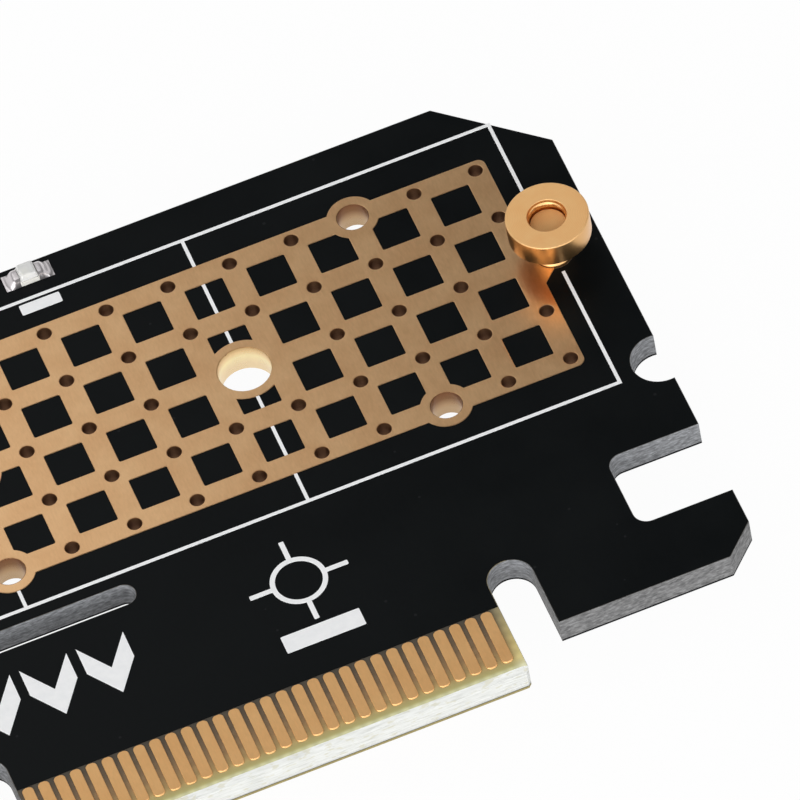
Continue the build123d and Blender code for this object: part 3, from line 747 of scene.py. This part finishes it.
VIAS = [
    (x, y)
    for x in COLUMN_XS
    for y in ROW_YS
    if (x, y) not in SINK_HOLES
    and all(math.dist((x, y), hole) > VIA_KEEP_OUT for hole in LENGTH_HOLES + [CLAMP])
]
BOARD_LOOPS = outline_of("circuit_board", BOARD_BACK / 2)
VIA_LOOPS = [ring(x, y, VIA_R, 20)[::-1] for x, y in VIAS]
BARE_TONGUE = oblong(TONGUE_X, TONGUE_Y)


def on_seating_edge(x, y):
    return abs(y) < SEAM


def board_core():
    """The laminate, with a routed edge and a milled bevel along the tongue's foot."""
    low, bevel = BOARD_BACK + BACK_LAYER_T, (on_seating_edge, BEVEL)
    shape = plate_shape(BOARD_LOOPS + VIA_LOOPS, low, -MASK_T, CORE_RIM, bevel=bevel)
    core = placed("board_core", shape, [LAMINATE, ROUTED, MILLED])
    for face, part in zip(core.data.polygons, shape[2]):
        if part == SIDE:
            milled = face.center.y < BEVEL * MM and face.normal.y < MILLED_FACING
            face.material_index = 2 if milled else 1
    fitted(core, "board_mask", "circuit_board")


def board_masks():
    """Mask on the front, drawn back a little from its edges; mask and bare laminate on the back."""
    board, vias = covered(BOARD_LOOPS), covered(VIA_LOOPS)

    def on_tongue(xs, ys):
        return (ys < TONGUE_Y[1]) & (xs < TONGUE_X[1])

    def masked(xs, ys):
        return board(xs, ys) & ~vias(xs, ys) & ~on_tongue(xs, ys)

    loops = region(BOARD_LOOPS + VIA_LOOPS + [BARE_TONGUE], masked)
    drawn_back = []
    for loop in loops:
        steps = zip(loop, inward(loop))
        drawn_back.append([(x + dx * MASK_PULLBACK, y + dy * MASK_PULLBACK) for (x, y), (dx, dy) in steps])
    bare = region(BOARD_LOOPS + [BARE_TONGUE], lambda xs, ys: board(xs, ys) & on_tongue(xs, ys))
    back = (BOARD_BACK, BOARD_BACK + BACK_LAYER_T)
    for name, shapes, finish in (
        ("board_mask_front", [plate_shape(drawn_back, -MASK_T, 0.0, MASK_RIM)], MASK),
        ("board_mask_back", [plate_shape(loops, *back, CORE_RIM)], MASK),
        ("tongue_back_laminate", [plate_shape([loop], *back, TONGUE_RIM) for loop in bare], BACK_LAMINATE),
    ):
        built(name, shapes, finish, "board_mask", "circuit_board")


def plated_holes():
    """Barrels in the small holes, linings in the large ones and copper lands round them on the back."""
    for name, places, radius, wall, proud, finish in (
        ("via_barrels", VIAS, VIA_R + BARREL_SUNK, BARREL_WALL, BARREL_PROUD, VIA_WALL),
        ("length_hole_liners", LENGTH_HOLES, LENGTH_HOLE_R, LINER_WALL, LINER_PROUD, LENGTH_HOLE_WALL),
        ("sink_hole_liners", SINK_HOLES, SINK_HOLE_R, LINER_WALL, LINER_PROUD, SINK_HOLE_WALL),
    ):
        low, high, bore = BOARD_BACK - proud, proud, radius - wall
        profile = plain_rows((radius, low), (radius, high), (bore, high), (bore, low))
        tubes = [turned_shape(centre, profile, 32, closed=True) for centre in places]
        built(name, tubes, finish, "plated_copper", "heat_lattice", smooth=True)
    lands = []
    for places, land, hole in (
        (VIAS, VIA_LAND_R, VIA_R - NET_STEP),
        (LENGTH_HOLES, LENGTH_LAND_R, LENGTH_HOLE_R - LAND_LAP),
        (SINK_HOLES, SINK_LAND_R, SINK_HOLE_R - LAND_LAP),
    ):
        for x, y in places:
            loops = [ring(x, y, land), ring(x, y, hole)[::-1]]
            lands.append(plate_shape(loops, BOARD_BACK - LAND_PROUD, BOARD_BACK + LAND_RIM, LAND_RIM))
    built("back_lands", lands, COPPER, "plated_copper", "heat_lattice")


def heat_lattice():
    """One copper net: round plated holes, soft window corners, lands and the tab to the clamp."""
    x = (COLUMN_XS[-1] - LATTICE_BORDER, COLUMN_XS[0] + LATTICE_BORDER)
    y = (ROW_YS[0] - LATTICE_BORDER, ROW_YS[-1] + LATTICE_BORDER)
    outer = round_box(x, y, NET_CORNER)
    near, far = HALF_PITCH - WINDOW / 2, HALF_PITCH + WINDOW / 2
    windows = [
        round_box((c - far, c - near), (r + near, r + far), WINDOW_CORNER, 3)
        for c in COLUMN_XS[:-1]
        for r in ROW_YS[:-1]
    ]
    lands = [ring(*p, LENGTH_LAND_R, 56) for p in LENGTH_HOLES]
    lands += [ring(*p, SINK_LAND_R, 48) for p in SINK_HOLES]
    half = [(COLUMN_XS[0], -TAB_ROOT), (x[1], -TAB_ROOT), (TAB_END, -TAB_TIP)]
    lands.append([(px, MODULE_Y + py) for px, py in half + [(px, -py) for px, py in reversed(half)]])
    cuts = [ring(*p, LENGTH_HOLE_R - NET_STEP, 56) for p in LENGTH_HOLES]
    cuts += [ring(*p, SINK_HOLE_R - NET_STEP, 48) for p in SINK_HOLES]
    cuts += [ring(*p, VIA_R - BARREL_WALL + NET_STEP, 24) for p in VIAS]
    cuts.append(ring(*CLAMP, STUD_R + NET_STEP, 40))
    in_net, in_window, in_cut = covered([outer]), covered(windows), covered(cuts)
    in_land = in_any([[land] for land in lands])

    def copper(xs, ys):
        return (in_net(xs, ys) & ~in_window(xs, ys) | in_land(xs, ys)) & ~in_cut(xs, ys)

    loops = region([outer] + windows + lands + cuts, copper)
    net = plate_shape(loops, NET_FOOT, COPPER_TOP, NET_RIM)
    built("heat_lattice_net", [net], COPPER, "plated_copper", "heat_lattice")


def at_finger_foot(x, y):
    return y < FINGER_LOW + FINGER_CORNER / 2


def fingers():
    half, bevel = FINGER_W / 2, (at_finger_foot, FINGER_BEVEL)
    for name, node, low, high in (
        ("fingers_front", "edge_fingers_front", -MASK_T - FINGER_SUNK, COPPER_TOP),
        ("fingers_back", "edge_fingers_back", BOARD_BACK - COPPER_TOP, BOARD_BACK + FINGER_SUNK),
    ):
        shapes = []
        for x in FINGER_XS:
            outline = round_box(about(x, half), (FINGER_LOW, FINGER_HIGH), FINGER_CORNER, 6)
            shapes.append(plate_shape([outline], low, high, FINGER_RIM, 3, bevel))
        built(name, shapes, FINGER_GOLD, "plated_copper", node)


def arrow_outline(x):
    """An arrowhead that points to the seating edge."""
    half, low, rise, band = 1.5, 9.0, 2.2, 2.0
    side = [(half, low + rise), (half, low + rise + band)]
    right = [(x + a, b) for a, b in side]
    left = [(x - a, b) for a, b in reversed(side)]
    return [(x, low)] + right + [(x, low + band)] + left


def target_outline():
    """A ring with four ticks."""
    x, y, radius, band, tick, corner = 62.4, 12.1, 1.75, 0.32, 1.7, 0.05
    circles = [ring(x, y, radius, 72), ring(x, y, radius - band, 72)]
    half, near, far = band / 2, radius - band, radius + tick - band
    ticks = []
    for side in (-1, 1):
        along = sorted((side * near, side * far))
        ticks.append(round_box((x + along[0], x + along[1]), about(y, half), corner, 2))
        ticks.append(round_box(about(x, half), (y + along[0], y + along[1]), corner, 2))
    return region(circles + ticks, in_any([circles] + [[t] for t in ticks]))


def line_outlines():
    """The module's outline and the length lines, which stop at the copper."""
    half = LINE_W / 2
    clamp_x, free_x = CLAMP[0], LENGTH_HOLES[-1][0]
    spans = [((FRAME_LEFT, clamp_x + half), about(MODULE_EDGE, half))]
    upright = [(clamp_x, CLAMP_LINE_GAP, MODULE_EDGE)]
    upright += [(x, start, MODULE_EDGE) for (x, _), start in zip(LENGTH_HOLES, LENGTH_LINE_STARTS)]
    upright += [(free_x, low, high) for low, high in FREE_LINE_SPANS]
    spans += [(about(x, half), span) for x, *span in upright]
    strokes = []
    for side in (-1, 1):
        for x, y in spans:
            strokes.append(oblong(x, sorted(MODULE_Y + side * v for v in y)))
    return region(strokes, in_any([[stroke] for stroke in strokes]))


def printed():
    """White print: lines, insertion arrows, a target, a bar and lamp fields."""
    marks = [[arrow_outline(x)] for x in ARROW_XS]
    marks.append(target_outline())
    marks.append([round_box(BAR_X, BAR_Y, BAR_CORNER, 2)])
    marks += [[round_box(about(x, FIELD_HALF_W), FIELD_Y, FIELD_CORNER, 3)] for x in LAMP_XS]
    for name, outlines, node in (
        ("printed_lines", [line_outlines()], "print_lines"),
        ("printed_marks", marks, "print_marks"),
    ):
        inked = [plate_shape(loops, INK_FOOT, INK_TOP, INK_RIM) for loops in outlines]
        built(name, inked, PRINT, "white_print", node)


# The clamp

def clamp():
    """A round nut with a threaded mouth, on a stud with a flange under the board."""
    depth, pitch, play = -0.12, 0.4, 0.01
    nut = plain_rows((1.24, 2.0)) + rim_rows(2.47, 2.08, 0.08, -90, 0) + rim_rows(2.45, 3.5, 0.1, 0, 90)
    nut += rim_rows(1.26, 3.54, 0.06, 90, 180) + thread_rows(STUD_R, 3.5, 2.86, depth, pitch)
    nut += plain_rows((STUD_R, 2.82), (STUD_R, 2.05))
    nut = turned_shape(CLAMP, nut, 96, closed=True, pitch=pitch)
    built("clamp_round_nut", [nut], BRASS, "clamp_brass", "clamp_nut")
    neck = STUD_R - play
    stud = plain_rows((0.0, -2.6)) + rim_rows(2.4, -2.5, 0.1, -90, 0) + rim_rows(2.4, -2.0, 0.1, 0, 90)
    stud += plain_rows((neck, BOARD_BACK), (neck, 0.02)) + thread_rows(neck, 0.06, 2.7, depth, pitch)
    stud += plain_rows((1.12, 2.8), (1.07, 2.85), (0.0, 2.85))
    stud = turned_shape(CLAMP, stud, 72, pitch=pitch)
    built("clamp_threaded_stud", [stud], BRASS, "clamp_brass", "clamp_stud")


# Socket, lamps, chip parts, bracket and screws

def box_shape(x, y, z):
    points = [(a, b, c) for c in z for b in y for a in x]
    faces = [(0, 2, 3, 1), (4, 5, 7, 6), (0, 1, 5, 4), (2, 6, 7, 3), (0, 4, 6, 2), (1, 3, 7, 5)]
    return points, faces, [SIDE] * len(faces)


def carved(piece, shape):
    """The piece with a closed shape cut out of it."""
    cutter = placed("cutter", shape, piece.data.materials, smooth=True)
    cut = piece.modifiers.new("cut", "BOOLEAN")
    cut.operation = "DIFFERENCE"
    cut.solver = "EXACT"
    cut.object = cutter
    graph = bpy.context.evaluated_depsgraph_get()
    mesh = bpy.data.meshes.new_from_object(piece.evaluated_get(graph))
    piece.modifiers.clear()
    work = bmesh.new()
    work.from_mesh(mesh)
    bmesh.ops.remove_doubles(work, verts=work.verts, dist=SEAM * MM)
    bmesh.ops.dissolve_degenerate(work, edges=work.edges, dist=SEAM * MM)
    work.to_mesh(mesh)
    work.free()
    piece.data = mesh
    bpy.data.objects.remove(cutter)
    return piece


def strip_shape(path, y, width, thick):
    """A bent strip that follows a path of (x, height) points, centred on one Y."""
    points, faces = [], []
    for sides in zip(*flanks(path, thick)):
        for x, z in sides:
            points += [(x, y - width / 2, z), (x, y + width / 2, z)]
    last = len(points) - 4
    for a in range(0, last, 4):
        b = a + 4
        faces += [(a, b, b + 1, a + 1), (a + 2, a + 3, b + 3, b + 2)]
        faces += [(a, a + 2, b + 2, b), (a + 1, b + 1, b + 3, a + 3)]
    faces += [(0, 1, 3, 2), (last, last + 2, last + 3, last + 1)]
    return points, faces, [SIDE] * len(faces)


def solder_mound(x, y, height, land, across=10, along=12):
    """A closed mound of solder over a rectangle.

    It clings to a metal end over its land, rounds off and thins out in a hollow foot."""
    film, hollow, corners = 0.01, 1.3, 0.3

    def level(u, v):
        rest = min(1.0, max(0.0, (u - land) / (1 - land)) + corners * v**4)
        return film + height * (0.5 + 0.5 * math.cos(math.pi * rest)) ** hollow * (1 - abs(v) ** 6) ** 0.5

    points, faces = [], []
    for top in (False, True):
        for n in range(along + 1):
            for m in range(across + 1):
                u, v = n / along, 2 * m / across - 1
                place = (x[0] + (x[1] - x[0]) * u, y[0] + (y[1] - y[0]) * (v + 1) / 2)
                points.append((*place, level(u, v) if top else 0.0))
    row, layer = across + 1, (along + 1) * (across + 1)
    for n in range(along):
        for m in range(across):
            a = n * row + m
            faces.append((a, a + 1, a + row + 1, a + row))
            faces.append((layer + a, layer + a + row, layer + a + row + 1, layer + a + 1))
    rim = list(range(across)) + [n * row + across for n in range(along)]
    rim += [along * row + m for m in range(across, 0, -1)] + [n * row for n in range(along, 0, -1)]
    for a, b in zip(rim, rim[1:] + rim[:1]):
        faces.append((a, layer + a, layer + b, b))
    if x[1] < x[0]:
        faces = [face[::-1] for face in faces]
    return points, faces, [SIDE] * len(faces)


def end_mounds(x, y, reach, run, half, height, land):
    """Solder at both ends of a small part that reaches so far from its middle."""
    ends = [(x + side * reach, x + side * (reach + run)) for side in (-1, 1)]
    return [solder_mound(end, about(y, half), height, land) for end in ends]


def place_y(place):
    return MODULE_Y + CONTACT_PITCH * (place - MIDDLE_PLACE)


def socket():
    """The housing with a slot for every contact, its sprung contacts and their solder pads."""
    upper = [(4.1, 0.12), (4.1, 2.2), (4.3, 2.5), (5.3, 2.6), (6.1, 2.42)]
    upper += [(6.6, 2.06), (6.78, 2.04), (6.86, 2.2)]
    lower = [(4.75, 0.12), (4.75, 0.7), (5.0, 0.95), (6.0, 1.02), (6.9, 1.34)]
    lower += [(7.2, 1.38), (7.6, 1.16), (8.0, 0.98)]
    body_edge, pad_top, pad_corner = 0.08, 0.07, 0.08
    anchor_x, anchor_y, anchor_top, anchor_corner = (4.9, 7.9), (10.8, 12.5), 0.08, 0.2
    slots, springs, pads = [], [], []
    for places, slot_x, slot_z, path, pad_x in (
        (UPPER_PLACES, (5.3, 6.9), (2.2, 3.6), upper, (-0.62, 0.62)),
        (LOWER_PLACES, (5.4, 8.5), (0.8, 1.6), lower, (9.48, 10.42)),
    ):
        for y in map(place_y, places):
            slots.append(box_shape(slot_x, about(y, SLOT_HALF_W), slot_z))
            springs.append(strip_shape(path, y, SPRING_W, SPRING_T))
            pad = round_box(pad_x, about(y, PAD_HALF_W), pad_corner, 3)
            pads.append(plate_shape([pad], SUNK_FOOT, pad_top, PAD_RIM, 3))
    for side in (-1, 1):
        pad = round_box(anchor_x, sorted(MODULE_Y + side * v for v in anchor_y), anchor_corner, 4)
        pads.append(plate_shape([pad], SUNK_FOOT, anchor_top, PAD_RIM, 3))
    body = carved(softened("socket_body", "socket_housing", body_edge, SOCKET), joined(slots))
    fitted(body, "socket_plastic", "socket_housing")
    built("socket_springs", springs, COPPER, "tinned_contact", "socket_upper_contacts")
    built("socket_solder_pads", pads, SOLDER, "solder", "socket_lower_contacts", smooth=True)


def lamps():
    """Lamp ends with hollow solder, and the bright die and its wire inside the clear cap."""
    ends, dies, wires = [], [], []
    run, height, land, wire = 0.95, 0.5, 0.28, 0.04
    die_x, die_half, die_z, die_corner, die_rim = (-0.32, 0.12), 0.22, (0.34, 0.5), 0.04, 0.02
    for x in LAMP_XS:
        ends += end_mounds(x, LAMP_Y, LAMP_HALF_L, run, LAMP_HALF_D, height, land)
        die = round_box([x + v for v in die_x], about(LAMP_Y, die_half), die_corner, 2)
        dies.append(plate_shape([die], *die_z, die_rim))
        arc = [(x - 0.1, 0.5), (x - 0.02, 0.62), (x + 0.15, 0.66), (x + 0.32, 0.56), (x + 0.4, 0.36)]
        wires.append(strip_shape(arc, LAMP_Y, wire, wire))
    built("lamp_solder_ends", ends, SOLDER, "solder", "lamp_ends")
    built("lamp_dies", dies, LAMP_DIE, "lamp_base", "lamp_bodies")
    built("lamp_wires", wires, COPPER, "plated_copper", "lamp_lenses")


def chip_solder():
    """Hollow solder at both ends of the resistors and capacitors."""
    mounds = []
    for places, reach, run, half, height in (
        ([(x, LAMP_Y) for x in RESISTOR_XS], 0.8, 0.34, 0.38, 0.34),
        ([(CAPACITOR_X, y) for y in CAPACITOR_YS], 1.0, 0.45, 0.6, 0.75),
    ):
        for place in places:
            mounds += end_mounds(*place, reach, run, half, height, CHIP_LAND)
    built("chip_solder", mounds, SOLDER, "solder", "resistor_ends", "capacitor_ends")


def screws():
    """Pan-head screws with a cross recess and a cut thread."""
    shank, depth, pitch = 1.5, -0.2, 0.5
    rows = plain_rows((0.0, -3.4), (1.1, -3.4), (1.3, -3.3))
    rows += thread_rows(shank, -3.15, -0.15, depth, pitch)
    rows += plain_rows((shank, 0.0), (2.68, 0.0), (2.78, 0.08), (2.8, 0.25), (2.8, 0.75), (2.72, 1.08))
    rows += plain_rows((2.5, 1.38), (2.1, 1.62), (1.5, 1.76), (0.8, 1.8), (0.0, 1.8))
    arm, half, floor, above = 1.45, 0.36, 0.7, 2.4
    quarter = [(-arm, -half), (-half, -half), (-half, -arm)]
    cross = quarter + [(-a, b) for a, b in reversed(quarter)]
    cross += [(-a, -b) for a, b in cross]
    for n, (x, y) in enumerate(SCREWS):
        turned = turned_shape((x, y), rows, 64, pitch=pitch)
        screw = placed(f"bracket_screw_{n + 1}", turned, [SCREW], smooth=True)
        recess = plate_shape([[(x + a, y + b) for a, b in cross]], floor, above, 0.0, 1)
        fitted(carved(screw, recess), "screw_steel", "bracket_screws")


def masked_traces():
    """Signal pairs that show as faint ridges under the mask."""
    top, rim, width, slant = 0.018, 0.014, 0.2, 0.6
    foot_y, turn_y, end_x = 5.3, 8.0, 10.3
    lane_x, pair_gap, wire_gap = 12.4, 1.5, 0.4
    shapes = []
    for pair, start in enumerate((3.5, 8.5, 12.5, 16.5)):
        for wire in (0, 1):
            first, lane = start + wire, lane_x + pair_gap * pair + wire_gap * wire
            goal = place_y(LOWER_PLACES[4 + 8 * pair + wire])
            path = [(first, foot_y), (first, turn_y), (lane, turn_y + abs(lane - first))]
            path += [(lane, goal - slant), (lane - slant, goal), (end_x, goal)]
            left, right = flanks(path, width)
            shapes.append(plate_shape([right + left[::-1]], SUNK_FOOT, top, rim))
    built("masked_traces", shapes, MASK, "board_mask", "circuit_board", smooth=True)


def carried_over():
    """CAD pieces whose form is right, with their edges rounded and a finish of their own."""
    for name, node, width, finish, slot in (
        ("socket_rear_tails", "socket_upper_contacts", 0.03, TIN, "tinned_contact"),
        ("socket_front_tails", "socket_lower_contacts", 0.03, TIN, "tinned_contact"),
        ("socket_anchors", "socket_hold_downs", 0.05, TIN, "tinned_contact"),
        ("lamp_bases", "lamp_bodies", 0.03, CERAMIC, "lamp_base"),
        ("lamp_caps", "lamp_lenses", 0.1, CAP_RESIN_AND_PAINTED_GLARE, "lamp_clear"),
        ("lamp_series_resistors", "lamp_resistors", 0.04, GLAZE, "resistor_glaze"),
        ("resistor_caps", "resistor_ends", 0.08, TIN, "solder"),
        ("capacitor_blocks", "supply_capacitors", 0.06, CAPACITOR, "capacitor_ceramic"),
        ("capacitor_caps", "capacitor_ends", 0.1, TIN, "solder"),
        ("bracket_sheet", "slot_bracket", 0.12, STEEL, "bracket_steel"),
    ):
        fitted(softened(name, node, width, finish), slot, node)


board_core()
board_masks()
plated_holes()
heat_lattice()
fingers()
printed()
clamp()
socket()
lamps()
chip_solder()
screws()
masked_traces()
carried_over()


# Floor, light and camera

def white_floor():
    """A pale floor that looks white and keeps the card's soft shadow."""
    span, glow_share, seen_share = (-6000.0, 6000.0), 0.35, 0.615
    mat = Finish("white_floor")
    mat.tree.nodes.remove(mat.shader)
    diffuse = mat.node("BsdfDiffuse", {"Color": (0.9, 0.9, 0.9)}).outputs[0]
    glow = mat.node("Emission", {"Color": (1.0, 1.0, 1.0), "Strength": 1.0}).outputs[0]
    path = mat.node("LightPath").outputs
    seen = mat.math("MAXIMUM", path["Is Camera Ray"], path["Is Glossy Ray"])
    seen = mat.math("MAXIMUM", seen, path["Is Transmission Ray"])
    share = mat.math("MULTIPLY_ADD", seen, seen_share, glow_share)
    mixed = mat.node("MixShader", {0: share, 1: diffuse, 2: glow}).outputs[0]
    mat.put(mixed, mat.tree.nodes["Material Output"].inputs["Surface"])
    corners = [(x, y, FLOOR_Z) for x, y in oblong(span, span)]
    placed("floor", (corners, [(0, 1, 2, 3)], [TOP]), [mat.made])


def studio_world():
    """Soft white near the horizon, dimmer overhead."""
    world = bpy.data.worlds.new("studio")
    bpy.context.scene.world = world
    world.use_nodes = True
    sky = Shading(world.node_tree)
    greys = ((0.0, 1.0), (0.3, 0.75), (0.6, 0.15), (1.0, 0.17))
    tone = sky.ramp(sky.axis("Z", "Generated"), [(height, (grey,) * 3) for height, grey in greys])
    to_camera = sky.node("LightPath").outputs["Is Camera Ray"]
    background = sky.tree.nodes["Background"].inputs
    sky.put(sky.mix(to_camera, tone, (1.0, 1.0, 1.0)), background["Color"])
    sky.put(1.0, background["Strength"])


def softbox(name, place, target, size, watts):
    lamp = bpy.data.lights.new(name, "AREA")
    lamp.shape = "RECTANGLE"
    lamp.size, lamp.size_y = size
    lamp.energy = watts
    box = shown(name, lamp)
    box.location = place
    box.rotation_euler = (Vector(target) - Vector(place)).to_track_quat("-Z", "Y").to_euler()
    box.visible_camera = False


def photo_camera():
    """The photograph's view of the card's clamp end."""
    lens = bpy.data.cameras.new("photo_camera")
    lens.sensor_width = 36.0
    lens.lens = 604.75
    lens.clip_start = 0.05
    lens.clip_end = 50.0
    camera = shown("photo_camera", lens)
    camera.rotation_euler = [math.radians(a) for a in (37.9544, 7.2415, -20.8044)]
    camera.location = (-0.028096, -0.467584, 0.627627)
    bpy.context.scene.camera = camera


white_floor()
studio_world()
softbox("key_softbox", (0.008, 0.147, 0.22), (0.05, 0.02, 0.0), (0.18, 0.16), 0.105)
softbox("front_softbox", (0.05, -0.5, 0.3), (0.06, 0.02, 0.0), (1.5, 0.66), 3.75)
softbox("left_softbox", (-0.5, -0.35, 0.32), (0.05, 0.02, 0.0), (1.2, 0.66), 3.2)
photo_camera()

bpy.context.scene.view_settings.view_transform = "Standard"
